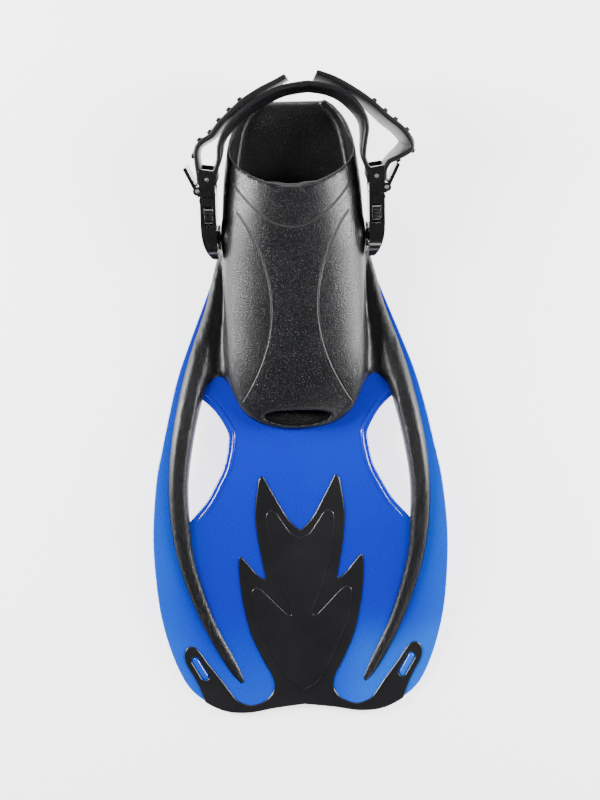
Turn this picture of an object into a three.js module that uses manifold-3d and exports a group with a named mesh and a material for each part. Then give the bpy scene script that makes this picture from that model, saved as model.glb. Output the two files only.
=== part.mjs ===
// An open-heel swim fin, lying sole down. Millimetres, +Z up, +Y towards the heel, -Y towards the
// blade tip, +X to the right. The drawing's Y is 0 at the toe end of the foot pocket; the finished
// group is then centred, so that its origin is the middle of the space it stands on.
import * as THREE from 'three';
import { LoftGeometry } from 'three/addons/geometries/LoftGeometry.js';
import { mergeVertices } from 'three/addons/utils/BufferGeometryUtils.js';
import Module from 'manifold-3d';

const wasm = await Module();
wasm.setup();

// ---------- Driving dimensions ----------
const gap = 0.3; // clearance between pieces that seat on each other

// Blade
const bladeWidth = 189;
const bladeReach = 183; // toe end of the pocket to the tip
const bladeRoot = 101; // toe end of the pocket to the top of the blade's shoulders
const bladeThickness = 3;
const tongueDip = 26; // how far the root edge sags between the shoulders
const recessDepth = 1.2;
const insertProud = 0.8; // how far the tip insert stands above the blade
const lipWidth = 3;
const lipDepth = 2.4; // blade mid-plane to the underside of the tip lip
const padSlotLength = 17;
const padSlotWidth = 5;
const keyLength = 12;
const keyWidth = 4;

// Foot pocket
const pocketWidth = 90;
const pocketLength = 211.5;
const pocketWall = 4.2;
const soleDepth = 5.5; // blade mid-plane to the underside of the sole
const footbedHeight = 3.5; // blade mid-plane to the footbed
const instepHeight = 58; // underside of the sole to the rim of the instep
const webSkin = 1.6; // rubber over each face of the blade root
const webEnd = 34;
const archHeight = 12; // rise of the blade between the tip and the heel

// Heel strap and buckles
const postY = 122.5;
const postHeight = 26;
const incline = THREE.MathUtils.degToRad(15);
const bossRadius = 10;
const bossProud = 0.5;
const barrelRadius = 4;
const stemRadius = 3;
const flangeRadius = 8;
const flangeThickness = 1.5;
const capRadius = 5.4;
const receiverWidth = 12; // wall face to the outer face of the buckle
const receiverMouth = 27; // post axis to the mouth of the receiver
const strapWidth = 24;
const strapThickness = 3.2;
const ridgeHeight = 1.3;
const rollerY = 38;
const rollerX = 7;
const rollerRadius = 3.1;
const pinRadius = 1.2;
const cheekThickness = 2.2;
const heelReach = 52; // roller axis to the back of the heel loop
const leverLength = 16;
const leverAngle = THREE.MathUtils.degToRad(25);
const leverThickness = 2.2;
const leverHub = 2.2;
const springRadius = 2;
const springLength = 6;

// Worked out from the above
const halfBlade = bladeWidth / 2;
const halfPlate = bladeThickness / 2;
const halfPocket = pocketWidth / 2;
const wallFace = halfPocket + bossProud;
const restTip = -bladeReach * 0.94; // the blade lies level from here to its tip
const restHeel = postY - bossRadius; // the sole lies level from here to the heel
const halfStrap = strapWidth / 2;
const cheekInner = halfStrap + gap + 0.1;
const cheekOuter = cheekInner + cheekThickness;
const wrapRadius = rollerRadius + gap + strapThickness / 2;
const far = 400; // longer than anything that is cut

// ---------- Solids ----------
function toSolid(geometry) {
  const bare = geometry.index ? geometry.toNonIndexed() : geometry.clone();
  bare.deleteAttribute('normal');
  bare.deleteAttribute('uv');
  const merged = mergeVertices(bare, 1e-4);
  const corners = merged.index.array;
  const triVerts = [];
  for (let i = 0; i < corners.length; i += 3) {
    const [a, b, c] = corners.slice(i, i + 3);
    if (a !== b && b !== c && c !== a) triVerts.push(a, b, c);
  }
  return new wasm.Manifold(new wasm.Mesh({
    numProp: 3,
    vertProperties: merged.attributes.position.array,
    triVerts: Uint32Array.from(triVerts),
  }));
}

function toGeometry(solid) {
  const mesh = solid.getMesh();
  const geometry = new THREE.BufferGeometry();
  geometry.setAttribute('position', new THREE.BufferAttribute(mesh.vertProperties, 3));
  geometry.setIndex(new THREE.BufferAttribute(mesh.triVerts, 1));
  geometry.computeVertexNormals();
  return geometry;
}

const joined = (first, ...others) =>
  toGeometry(others.reduce((solid, other) => solid.add(toSolid(other)), toSolid(first)));

const cut = (first, ...others) =>
  toGeometry(others.reduce((solid, other) => solid.subtract(toSolid(other)), toSolid(first)));

const common = (first, ...others) =>
  toGeometry(others.reduce((solid, other) => solid.intersect(toSolid(other)), toSolid(first)));

// The mirror image of a piece: across the fin's middle, or across another scale.
function mirrored(geometry, scale = [-1, 1, 1]) {
  const copy = geometry.index ? geometry.toNonIndexed() : geometry.clone();
  const place = copy.attributes.position;
  copy.scale(...scale);
  for (let i = 0; i < place.count; i += 3) {
    const second = new THREE.Vector3().fromBufferAttribute(place, i + 1);
    const third = new THREE.Vector3().fromBufferAttribute(place, i + 2);
    place.setXYZ(i + 1, third.x, third.y, third.z);
    place.setXYZ(i + 2, second.x, second.y, second.z);
  }
  return copy;
}

// A block between two corners.
function block(low, high) {
  const size = high.map((value, i) => value - low[i]);
  const middle = high.map((value, i) => (value + low[i]) / 2);
  return new THREE.BoxGeometry(...size).translate(...middle);
}

// A flat outline given thickness: along Z from its (x, y), or along X from its (y, z).
function slab(outline, from, to) {
  const shape = outline instanceof THREE.Shape ? outline : new THREE.Shape(outline);
  const options = { depth: to - from, bevelEnabled: false, curveSegments: 6 };
  return new THREE.ExtrudeGeometry(shape, options).translate(0, 0, from);
}

function slabAcross(outline, from, to) {
  const turn = new THREE.Matrix4().makeBasis(
    new THREE.Vector3(0, 1, 0),
    new THREE.Vector3(0, 0, 1),
    new THREE.Vector3(1, 0, 0),
  );
  return slab(outline, from, to).applyMatrix4(turn);
}

const pinAlongX = (radius, from, to, y = 0, z = 0, sides = 16) =>
  new THREE.CylinderGeometry(radius, radius, to - from, sides)
    .rotateZ(Math.PI / 2)
    .translate((from + to) / 2, y, z);

const pinAlongZ = (radius, from, to, x = 0, y = 0, sides = 14) =>
  new THREE.CylinderGeometry(radius, radius, to - from, sides)
    .rotateX(Math.PI / 2)
    .translate(x, y, (from + to) / 2);

// A sleeve along Z, centred on the origin.
function sleeve(inner, outer, length) {
  const section = [
    [inner, -length / 2],
    [outer, -length / 2],
    [outer, length / 2],
    [inner, length / 2],
    [inner, -length / 2],
  ];
  return new THREE.LatheGeometry(section.map(([r, y]) => new THREE.Vector2(r, y)), 14)
    .rotateX(Math.PI / 2);
}

// ---------- Curves ----------
const spline = (points) => new THREE.SplineCurve(points.map(([x, y]) => new THREE.Vector2(x, y)));

function profile(pairs) {
  const places = pairs.map(([at]) => at);
  const values = pairs.map(([, value]) => value);
  const interpolant = new THREE.CubicInterpolant(places, values, 1);
  return (at) => interpolant.evaluate(at)[0];
}

// An outline grown outwards by a distance, its corners kept sharp.
function grown(outline, distance) {
  const count = outline.length;
  const outward = THREE.ShapeUtils.isClockWise(outline) ? 1 : -1;
  return outline.map((point, i) => {
    const before = point.clone().sub(outline[(i + count - 1) % count]).normalize();
    const after = outline[(i + 1) % count].clone().sub(point).normalize();
    const bisector = new THREE.Vector2(-(before.y + after.y), before.x + after.x).normalize();
    const normal = new THREE.Vector2(-after.y, after.x);
    const miter = Math.min(1 / Math.max(bisector.dot(normal), 0.3), 3);
    return point.clone().addScaledVector(bisector, outward * distance * miter);
  });
}

// A slot with round ends, centred at a point and turned to a direction.
function roundSlot(center, length, width, angle) {
  const radius = width / 2;
  const reach = length / 2 - radius;
  const outline = [];
  const steps = 3;
  for (const side of [1, -1]) {
    for (let i = 0; i <= steps; i += 1) {
      const turn = (i / steps - 0.5) * Math.PI + (side > 0 ? 0 : Math.PI);
      outline.push(new THREE.Vector2(side * reach + radius * Math.cos(turn), radius * Math.sin(turn)));
    }
  }
  return outline.map((point) => point.rotateAround(new THREE.Vector2(), angle).add(center));
}

// ---------- The fin's side view ----------
const archSpans = 6; // the arch is drawn in straight spans, so that neighbours stay parallel

function archAt(along) {
  return THREE.MathUtils.lerp(lipDepth, soleDepth, along) + archHeight * Math.sin(Math.PI * along) ** 2;
}

// Height of the blade's mid-plane above the ground.
function spineHeight(y) {
  const along = THREE.MathUtils.clamp((y - restTip) / (restHeel - restTip), 0, 1) * archSpans;
  const start = Math.min(Math.floor(along), archSpans - 1);
  return THREE.MathUtils.lerp(archAt(start / archSpans), archAt((start + 1) / archSpans), along - start);
}

// Cuts every triangle where it crosses y = station.
function slicedAt(triangles, station) {
  const result = [];
  for (const triangle of triangles) {
    const sides = triangle.map((point) => Math.sign(Math.round((point.y - station) * 1e5)));
    if (!(sides.includes(1) && sides.includes(-1))) {
      result.push(triangle);
      continue;
    }
    const halves = { 1: [], '-1': [] };
    triangle.forEach((point, i) => {
      const next = triangle[(i + 1) % 3];
      const nextSide = sides[(i + 1) % 3];
      if (sides[i] >= 0) halves[1].push(point);
      if (sides[i] <= 0) halves[-1].push(point);
      if (sides[i] * nextSide < 0) {
        const [low, high] = point.y < next.y ? [point, next] : [next, point];
        const crossing = low.clone().lerp(high, (station - low.y) / (high.y - low.y));
        halves[1].push(crossing);
        halves[-1].push(crossing);
      }
    });
    for (const polygon of [halves[1], halves[-1]]) {
      for (let i = 2; i < polygon.length; i += 1) {
        result.push([polygon[0], polygon[i - 1], polygon[i]]);
      }
    }
  }
  return result;
}

// Lays a piece that was drawn flat onto the fin's side view.
function arched(geometry) {
  const flat = geometry.index ? geometry.toNonIndexed() : geometry;
  const place = flat.attributes.position;
  let triangles = [];
  for (let i = 0; i < place.count; i += 3) {
    triangles.push([0, 1, 2].map((j) => new THREE.Vector3().fromBufferAttribute(place, i + j)));
  }
  for (let i = 0; i <= archSpans; i += 1) {
    triangles = slicedAt(triangles, THREE.MathUtils.lerp(restTip, restHeel, i / archSpans));
  }
  const points = triangles.flat();
  const raised = points.map((point) => new THREE.Vector3(point.x, point.y, point.z + spineHeight(point.y)));
  const result = new THREE.BufferGeometry().setFromPoints(raised);
  const indexed = mergeVertices(result, 1e-4);
  indexed.computeVertexNormals();
  return indexed;
}

// ---------- Blade plan ----------
// A place on the right half of the blade: a is the share of its half width, b the share of the
// reach (below 0, towards the tip) or of the root (above 0).
const onBlade = ([a, b]) => [a * halfBlade, b < 0 ? b * bladeReach : b * bladeRoot];

const bladeSide = spline([
  [0.545, 1], [0.619, 0.815], [0.715, 0.584], [0.804, 0.354], [0.87, 0.123], [0.925, -0.06],
  [0.97, -0.187], [1, -0.38], [0.984, -0.571], [0.946, -0.699], [0.87, -0.827], [0.764, -0.923],
  [0.578, -0.986], [0.396, -1], [0.2, -0.985], [0, -0.973],
].map(onBlade));

function wholeBlade(rootShift) {
  const right = bladeSide.getPoints(24);
  const left = right.slice(0, -1).map((point) => new THREE.Vector2(-point.x, point.y)).reverse();
  const [shoulder] = right;
  const root = spline([
    [-shoulder.x, shoulder.y],
    [-shoulder.x * 0.6, bladeRoot - tongueDip * 0.7 + rootShift],
    [0, bladeRoot - tongueDip + rootShift],
    [shoulder.x * 0.6, bladeRoot - tongueDip * 0.7 + rootShift],
    [shoulder.x, shoulder.y],
  ]).getPoints(16).slice(1, -1);
  return [...right, ...left, ...root];
}

// The side rail's run: its plan, its width, and its heights above and below the mid-plane.
const railRun = [
  [0.512, 1.09, 3, 5, 3], [0.525, 0.99, 6, 6.5, 3.8], [0.556, 0.813, 9, 8, 4.6], [0.616, 0.586, 13, 8.6, 5.4],
  [0.679, 0.354, 16, 8.8, 6], [0.743, 0.123, 15, 8.6, 6.4], [0.79, -0.06, 14.3, 8.2, 6.6],
  [0.817, -0.187, 13.4, 7.8, 6.6], [0.812, -0.315, 13, 7.2, 6.2], [0.783, -0.443, 11.4, 6.4, 5.4],
  [0.717, -0.571, 10.3, 5.4, 4.4], [0.623, -0.699, 9.1, 4.4, 3.4], [0.495, -0.827, 7.2, 3.4, 2.6],
  [0.407, -0.904, 3, 2.3, 2],
];
const railPlan = new THREE.CatmullRomCurve3(railRun.map(([a, b, width]) => new THREE.Vector3(...onBlade([a, b]), width)));
const railRise = new THREE.CatmullRomCurve3(railRun.map(([, , , up, down]) => new THREE.Vector3(up, down, 0)));

// A point beside the rail's centre line, at a share of its half width: -1 is the inner edge.
function besideRail(t, share, extra = 0) {
  const center = railPlan.getPoint(t);
  const tangent = railPlan.getTangent(t).setZ(0).normalize();
  const offset = share * (center.z / 2 + extra);
  return new THREE.Vector2(center.x - tangent.y * offset, center.y + tangent.x * offset);
}

function railBody(extra) {
  const steps = 20;
  const corners = 8;
  const sections = [];
  for (let i = 0; i <= steps; i += 1) {
    const t = i / steps;
    const rise = railRise.getPoint(t);
    const section = [];
    for (let j = 0; j < corners; j += 1) {
      const angle = (j / corners) * Math.PI * 2;
      const across = Math.sign(Math.cos(angle)) * Math.abs(Math.cos(angle)) ** 0.75;
      const height = Math.sign(Math.sin(angle)) * Math.abs(Math.sin(angle)) ** 0.75;
      const place = besideRail(t, across, extra);
      const reach = height > 0 ? rise.x + extra : rise.y + extra;
      section.push(new THREE.Vector3(place.x, place.y, height * reach));
    }
    sections.push(section);
  }
  return new LoftGeometry(sections, { capStart: true, capEnd: true });
}

const windowStart = 0.37; // the stretch of the rail that the window lies along
const windowEnd = 0.62;
const keyPlaces = [0.24, 0.4, 0.55, 0.7, 0.84];

function railKeys(extra, halfHeight) {
  return keyPlaces.map((t) => {
    const tangent = railPlan.getTangent(t);
    const center = besideRail(t, 0);
    const angle = Math.atan2(tangent.y, tangent.x);
    const outline = roundSlot(center, keyLength + 2 * extra, keyWidth + 2 * extra, angle);
    return slab(outline, -halfHeight, halfHeight);
  });
}

// The side window: a curved inner edge, and an outer edge hidden a little under the rail.
function windowHole() {
  const tuck = 1;
  const inner = spline([
    [0.66, 0.21], [0.561, 0.123], [0.485, 0.008], [0.471, -0.035], [0.503, -0.123], [0.561, -0.187],
    [0.633, -0.251], [0.725, -0.305],
  ].map(onBlade)).getPoints(14);
  const steps = 6;
  const outer = [];
  for (let i = 0; i <= steps; i += 1) {
    outer.push(besideRail(THREE.MathUtils.lerp(windowEnd, windowStart, i / steps), -1, -tuck));
  }
  return slab([...inner, ...outer], -far, far);
}

// ---------- Tip insert plan ----------
const flameRight = [
  spline([[0, -0.355], [0.079, -0.315], [0.151, -0.251], [0.217, -0.187], [0.248, -0.159]].map(onBlade)),
  spline([
    [0.248, -0.159], [0.278, -0.187], [0.303, -0.284], [0.299, -0.348], [0.283, -0.411], [0.2455, -0.526],
  ].map(onBlade)),
  spline([[0.2455, -0.526], [0.303, -0.507], [0.354, -0.475], [0.413, -0.44]].map(onBlade)),
  spline([
    [0.413, -0.44], [0.426, -0.475], [0.42, -0.539], [0.403, -0.61], [0.368, -0.699], [0.324, -0.763],
    [0.265, -0.827], [0.217, -0.874], [0.203, -0.915], [0.238, -0.948], [0.29, -0.966], [0.358, -0.975],
    [0.42, -0.968], [0.472, -0.95], [0.553, -0.891], [0.647, -0.827], [0.695, -0.79], [0.735, -0.766],
    [0.78, -0.762], [0.812, -0.785], [0.805, -0.82], [0.764, -0.86], [0.732, -0.891], [0.705, -0.923],
    [0.68, -0.952],
  ].map(onBlade)),
];

function flameOutline() {
  const counts = [4, 5, 3, 24];
  const right = flameRight.flatMap((curve, i) => curve.getPoints(counts[i]).slice(i ? 1 : 0));
  const below = right.at(-1).clone();
  below.y = -bladeReach - lipWidth;
  right.push(below);
  const left = right.slice(1).map((point) => new THREE.Vector2(-point.x, point.y)).reverse();
  return [...right, ...left];
}

const padSlotCenter = new THREE.Vector2(...onBlade([0.707, -0.8415]));
const padSlotAngle = THREE.MathUtils.degToRad(60);

const padSlot = (shrink, from, to) =>
  slab(roundSlot(padSlotCenter, padSlotLength - 2 * shrink, padSlotWidth - 2 * shrink, padSlotAngle), from, to);

// The crescent along the tip that the lip takes up.
function lipZone(width, from, to) {
  const outline = wholeBlade(0);
  const inset = outline.map((point) => new THREE.Vector2(point.x, point.y + width));
  const corner = onBlade([0.68, -0.952]);
  const reach = corner[0] + (width - lipWidth);
  const crescent = cut(slab(outline, from, to), slab(inset, from - 1, to + 1));
  const band = block([-reach, -far, from], [reach, corner[1] + width, to]);
  return common(crescent, band);
}

// ---------- Blade, rails and tip insert ----------
const insertTop = halfPlate + insertProud;
const recessFloor = halfPlate - recessDepth;

function blade() {
  const plate = slab(wholeBlade(0), -halfPlate, halfPlate);
  const opening = windowHole();
  const keys = railKeys(gap, far);
  const recess = slab(grown(flameOutline(), gap), recessFloor, far);
  const holes = [opening, ...keys];
  const body = cut(plate, ...holes, ...holes.map((hole) => mirrored(hole)), recess, lipZone(lipWidth + gap, -far, far));
  const raised = padSlot(gap, recessFloor - 0.2, halfPlate + 0.4);
  return joined(body, raised, mirrored(raised));
}

function rail() {
  const slot = block([-far, -far, -halfPlate - gap], [far, far, halfPlate + gap]);
  return joined(cut(railBody(0), slot), ...railKeys(0, halfPlate + gap + 0.5));
}

function tipInsert() {
  const slots = padSlot(0, 0, far);
  const face = common(
    slab(flameOutline(), recessFloor + gap, insertTop),
    slab(wholeBlade(0), -far, far),
  );
  const lip = lipZone(lipWidth, -lipDepth, insertTop);
  return cut(joined(face, lip), slots, mirrored(slots));
}

// ---------- Foot pocket ----------
const widthShare = profile([
  [0.26, 1], [0.58, 1], [0.73, 0.971], [0.825, 0.915], [0.905, 0.84], [0.945, 0.755], [0.975, 0.64], [1, 0.47],
]);
const heightShare = profile([[0, 0.36], [0.12, 0.48], [0.26, 0.62], [0.4, 0.76], [0.58, 0.91], [0.74, 1], [1, 1.06]]);
const toeLength = pocketLength * 0.26;
const toeRoundness = 2.8;

function pocketHalfWidth(y) {
  return halfPocket * widthShare(THREE.MathUtils.clamp(y / pocketLength, 0.26, 1));
}

// How far the toe has closed in, at a place and for a shell that starts at toeY.
function toeShare(y, toeY) {
  const ahead = THREE.MathUtils.clamp((toeLength - y) / (toeLength - toeY), 0, 1);
  return (1 - ahead ** toeRoundness) ** (1 / toeRoundness);
}

const pocketTop = (y) => instepHeight * heightShare(THREE.MathUtils.clamp(y / pocketLength, 0, 1)) - soleDepth;
const widestLevel = (y) => pocketTop(y) * 0.36;

// The pocket's body, its walls drawn in by inset; the heel end runs on past the sole.
function pocketBody(inset, stations, corners) {
  const heelY = pocketLength + 8;
  const sections = [];
  for (let i = 0; i <= stations; i += 1) {
    const y = inset + (heelY - inset) * (1 - Math.cos((i / stations) * Math.PI * 0.5)) ** 0.9;
    const share = Math.max(toeShare(y, inset), 0.02);
    const half = (pocketHalfWidth(y) - inset) * share;
    const middle = widestLevel(y);
    const up = (pocketTop(y) - inset - middle) * share;
    const down = (middle + soleDepth + 2.5) * Math.max(share, 0.4);
    const section = [];
    for (let j = 0; j < corners; j += 1) {
      const angle = (j / corners) * Math.PI * 2;
      const c = Math.cos(angle);
      const s = Math.sin(angle);
      const across = Math.sign(c) * Math.abs(c) ** (s > 0 ? 0.85 : 0.6);
      const height = s > 0 ? up * s ** 0.9 : -down * Math.abs(s) ** 0.6;
      section.push(new THREE.Vector3(-half * across, y, middle + height));
    }
    sections.push(section);
  }
  return new LoftGeometry(sections, { capStart: true, capEnd: true });
}

// The rubber over the blade root, from the pocket out to the rails, with a scalloped tip edge.
function web() {
  const inner = halfPocket;
  const outer = besideRail(0.27, -1).x;
  const radius = (outer - inner) / 2;
  const scallop = [];
  for (let i = 0; i <= 8; i += 1) {
    const angle = (i / 8) * Math.PI;
    scallop.push(new THREE.Vector2(inner + radius + radius * Math.cos(angle), webEnd - radius + radius * Math.sin(angle)));
  }
  const beside = [0.02, 0.1, 0.18, 0.26].map((t) => besideRail(t, 0));
  const heelEdge = beside[0].y;
  const right = [
    new THREE.Vector2(0, heelEdge),
    new THREE.Vector2(inner - 2, heelEdge),
    ...beside,
    new THREE.Vector2(outer + 2, webEnd - radius),
    ...scallop,
    new THREE.Vector2(inner - 6, webEnd - radius - 6),
    new THREE.Vector2(0, webEnd - radius - 6),
  ];
  const thickness = halfPlate + webSkin;
  const half = slab(right, -thickness, thickness);
  return joined(half, mirrored(half));
}

// What is cut away above the foot: the rim drops from the instep to the heel.
function rimCut() {
  const rim = spline([
    [0.67, 1.6], [0.69, 1.05], [0.723, 0.962], [0.757, 0.877], [0.794, 0.736], [0.834, 0.58], [0.92, 0.38],
    [1.02, 0.27],
  ].map(([along, up]) => [along * pocketLength, up * instepHeight - soleDepth])).getPoints(21);
  const corner = new THREE.Vector2(pocketLength * 1.2, rim.at(-1).y);
  const top = new THREE.Vector2(pocketLength * 1.2, instepHeight * 1.6 - soleDepth);
  return slabAcross([...rim, corner, top], -far, far);
}

// The lens-shaped drain slot in the toe.
function toeSlot() {
  const half = pocketWidth * 0.28;
  const shape = new THREE.Shape();
  shape.moveTo(-half, 9);
  shape.quadraticCurveTo(0, -4.5, half, 9);
  shape.quadraticCurveTo(0, 14, -half, 9);
  return slab(shape, footbedHeight, instepHeight);
}

const postLevel = postHeight - soleDepth;

function footPocket() {
  const boss = pinAlongX(bossRadius, halfPocket - pocketWall, wallFace, postY, postLevel, 20);
  const outer = joined(pocketBody(0, 18, 24), boss, mirrored(boss), web());
  const trimmed = common(outer, block([-far, -far, -soleDepth], [far, pocketLength, far]));
  const cavity = common(pocketBody(pocketWall, 14, 20), block([-far, -far, footbedHeight], [far, far, far]));
  const seatFace = wallFace - pocketWall - bossProud;
  const seat = pinAlongX(flangeRadius + gap, 0, seatFace, postY, postLevel, 20);
  const bore = pinAlongX(stemRadius + gap, 0, far, postY, postLevel);
  const tongue = slab(wholeBlade(gap), -halfPlate - gap, halfPlate + gap);
  const beside = railBody(gap);
  const cuts = [cavity, rimCut(), toeSlot(), tongue, beside, mirrored(beside)];
  return cut(trimmed, ...cuts, seat, mirrored(seat), bore, mirrored(bore));
}

// ---------- Buckle: x out from the pocket's wall, y along the strap, z across it ----------
const plateInner = flangeThickness + 2 * gap; // inner face of the receiver
const capSeat = 9.4;
const tongueInner = plateInner + 1.8;
const tongueOuter = 9.6;
const armInner = tongueInner + gap;
const armOuter = tongueOuter - gap;
const receiverHalf = cheekOuter - 0.4;
const receiverWall = 3;
const cavityHalf = receiverHalf - receiverWall;
const cavityStart = 6.5;
const catchStart = 8.5; // the side windows that the arms' catches stand in
const catchEnd = 21;
const capClearance = 0.4;
const capThickness = 1.3;
const postBore = 2;
const postBoreStart = 3.6;

function post() {
  const wallInner = -(pocketWall + bossProud + gap);
  const solid = joined(
    pinAlongX(flangeRadius, gap, gap + flangeThickness),
    pinAlongX(barrelRadius, flangeThickness / 2, capSeat - 0.1),
    pinAlongX(stemRadius, wallInner - flangeThickness / 2, 1),
    pinAlongX(flangeRadius, wallInner - flangeThickness, wallInner),
  );
  return cut(solid, pinAlongX(postBore, postBoreStart, far));
}

const postCap = () => joined(
  pinAlongX(capRadius, capSeat + gap, capSeat + gap + capThickness),
  pinAlongX(postBore - gap, postBoreStart + 2 * gap, capSeat + 1),
);

function receiver() {
  const side = new THREE.Shape();
  side.moveTo(receiverMouth, receiverHalf);
  side.lineTo(0, receiverHalf);
  side.absarc(0, 0, receiverHalf, Math.PI / 2, Math.PI * 1.5, false);
  side.lineTo(receiverMouth, -receiverHalf);
  const plan = new THREE.Shape();
  plan.moveTo(plateInner, receiverMouth);
  plan.lineTo(plateInner, -receiverHalf - 1);
  plan.lineTo(plateInner + 2, -receiverHalf - 1);
  plan.quadraticCurveTo(receiverWidth, -6, receiverWidth, 8);
  plan.lineTo(receiverWidth, receiverMouth);
  const shell = common(slabAcross(side, 0, far), slab(plan, -far, far));
  return cut(
    shell,
    pinAlongX(barrelRadius + gap, 0, far),
    pinAlongX(capRadius + capClearance, capSeat, far),
    block([tongueInner, cavityStart, -cavityHalf], [tongueOuter, far, cavityHalf]),
    block([tongueInner, catchStart, -far], [tongueOuter, catchEnd, far]),
  );
}

const armHinge = { y: 26, z: 8.6, radius: 2.2 };
const barStart = receiverMouth + 0.5;
const barEnd = rollerY - wrapRadius - strapThickness / 2 - 0.8;
const leverPin = { x: 13.2, y: 31, eye: 2.8 };
const cheekEnd = { y: 44.5, corner: 1.5, slant: 1 }; // the cheek's free end, a little lower inboard
const bridge = { start: 22, half: 4.5 }; // the block between the arms' hinges
const prong = { start: 9, half: 1.6 }; // the middle prong that guides the frame into the receiver

function buckleFrame() {
  const cheekSide = new THREE.Shape();
  cheekSide.moveTo(plateInner, barStart);
  cheekSide.lineTo(receiverWidth, barStart);
  cheekSide.lineTo(receiverWidth, cheekEnd.y - cheekEnd.corner);
  cheekSide.quadraticCurveTo(receiverWidth, cheekEnd.y, receiverWidth - cheekEnd.corner, cheekEnd.y);
  cheekSide.lineTo(plateInner + cheekEnd.corner, cheekEnd.y - cheekEnd.slant);
  cheekSide.quadraticCurveTo(
    plateInner,
    cheekEnd.y - cheekEnd.slant,
    plateInner,
    cheekEnd.y - cheekEnd.slant - cheekEnd.corner,
  );
  const cheek = joined(
    slab(cheekSide, cheekInner, cheekOuter),
    pinAlongZ(leverPin.eye, cheekInner, cheekOuter, leverPin.x, leverPin.y),
    block([receiverWidth - 2, barStart, cheekInner], [leverPin.x, leverPin.y + 2, cheekOuter]),
  );
  const body = joined(
    cheek,
    mirrored(cheek, [1, 1, -1]),
    block([plateInner + 0.3, barStart, -cheekOuter], [tongueOuter + 0.2, barEnd, cheekOuter]),
    block([armInner + 0.3, bridge.start, -bridge.half], [armOuter, barStart + 0.5, bridge.half]),
    block([armInner + 0.3, prong.start, -prong.half], [armOuter - 0.3, bridge.start + 1, prong.half]),
  );
  return cut(
    body,
    pinAlongZ(pinRadius + gap, -far, far, rollerX, rollerY),
    pinAlongZ(pinRadius + gap, -far, far, leverPin.x, leverPin.y),
    pinAlongX(armHinge.radius + gap, 0, far, armHinge.y, armHinge.z),
    pinAlongX(armHinge.radius + gap, 0, far, armHinge.y, -armHinge.z),
  );
}

// The upper squeeze arm, drawn about its hinge.
function squeezeArm() {
  const shape = new THREE.Shape();
  shape.moveTo(25.5, 6.6);
  shape.lineTo(10.5, 6.6);
  shape.quadraticCurveTo(9, 6.6, 9, 8.4);
  shape.lineTo(9, 11);
  shape.quadraticCurveTo(10, 15.4, 15, 15.4);
  shape.quadraticCurveTo(19, 15.4, 20.6, 12.4);
  shape.lineTo(20.6, 10.8);
  shape.lineTo(25.5, 10.8);
  const arm = joined(
    slabAcross(shape, armInner, armOuter),
    pinAlongX(armHinge.radius, armInner, armOuter, armHinge.y, armHinge.z),
  );
  return arm.translate(0, -armHinge.y, -armHinge.z);
}

// The lever, drawn about its pin: a hub, and a tab that flares away from the strap.
function lever() {
  const half = halfStrap - 1;
  const tab = block([-leverThickness / 2, 0, -half], [leverThickness / 2, leverLength, half])
    .translate(1, 0, 0)
    .rotateZ(-leverAngle);
  const hub = pinAlongZ(leverHub, -half, half);
  const springRoom = block([-3, -3, -springLength / 2 - gap], [4, 3, springLength / 2 + gap]);
  return cut(
    joined(hub, tab),
    pinAlongZ(pinRadius + gap, -far, far),
    springRoom.rotateZ(-leverAngle),
  );
}

const leverSpring = () => sleeve(pinRadius + 0.2, springRadius, springLength);

// ---------- Heel strap: one band round the heel, round both rollers, and out to its free tails ----------
const spanX = wallFace + rollerX; // middle of the fin to the roller

function besideWall(y) {
  const clearance = 1.4;
  const fromToe = postY + y * Math.cos(incline);
  return [pocketHalfWidth(fromToe) + clearance + strapThickness / 2, y];
}

// Loop: shares of the pocket's half width and of the heel reach. The loop is pulled a little to the right.
const heelPoint = ([share, along]) => [share * halfPocket, rollerY + along * heelReach];
const toRoller = [[spanX - wrapRadius, rollerY + 4], [spanX - wrapRadius, rollerY]];
const rightLoop = [
  ...[
    [0.255, 1.046], [0.482, 1.013], [0.678, 0.946], [0.845, 0.833], [0.971, 0.685], [1.013, 0.565], [1.007, 0.44],
  ].map(heelPoint),
  besideWall(rollerY + 0.225 * heelReach),
  ...toRoller,
];
const leftLoop = [
  ...[[-0.255, 1.046], [-0.027, 1.023], [0.178, 0.977], [0.442, 0.862], [0.691, 0.712], [0.871, 0.548]].map(heelPoint),
  besideWall(rollerY + 0.4 * heelReach),
  besideWall(rollerY + 0.225 * heelReach),
  ...toRoller,
];

// Tails: shares of the roller's distance from the middle, and of the heel reach.
const tailPoint = ([share, along]) => [share * spanX, rollerY + along * heelReach];
const rightTail = [
  [1.105, 0.08], [1.16, 0.165], [1.275, 0.243], [1.365, 0.325], [1.355, 0.405], [1.257, 0.523],
  [1.114, 0.64], [0.924, 0.82], [0.724, 0.965], [0.51, 1.09], [0.3, 1.17],
].map(tailPoint);
const leftTail = [
  [1.1, 0.08], [1.116, 0.238], [1.1, 0.35], [1.034, 0.419], [0.925, 0.49], [0.811, 0.631],
  [0.568, 0.858], [0.356, 0.996], [0.15, 1.096], [0.032, 1.158],
].map(tailPoint);

const tailStep = 2.2;
const ridgeStart = 6; // steps from the roller to the first ridge
const ridgeStep = 4; // steps from one ridge to the next
const ridgeCount = 6;

function isRidge(step) {
  const along = step - ridgeStart;
  return along >= 0 && along < ridgeCount * ridgeStep && along % ridgeStep < ridgeStep / 2;
}

// The band's middle line round the roller.
function wrap() {
  const steps = 8;
  const points = [];
  for (let i = 1; i < steps; i += 1) {
    const angle = Math.PI * (1 + i / steps);
    points.push(new THREE.Vector2(spanX + wrapRadius * Math.cos(angle), rollerY + wrapRadius * Math.sin(angle)));
  }
  return points;
}

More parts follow.
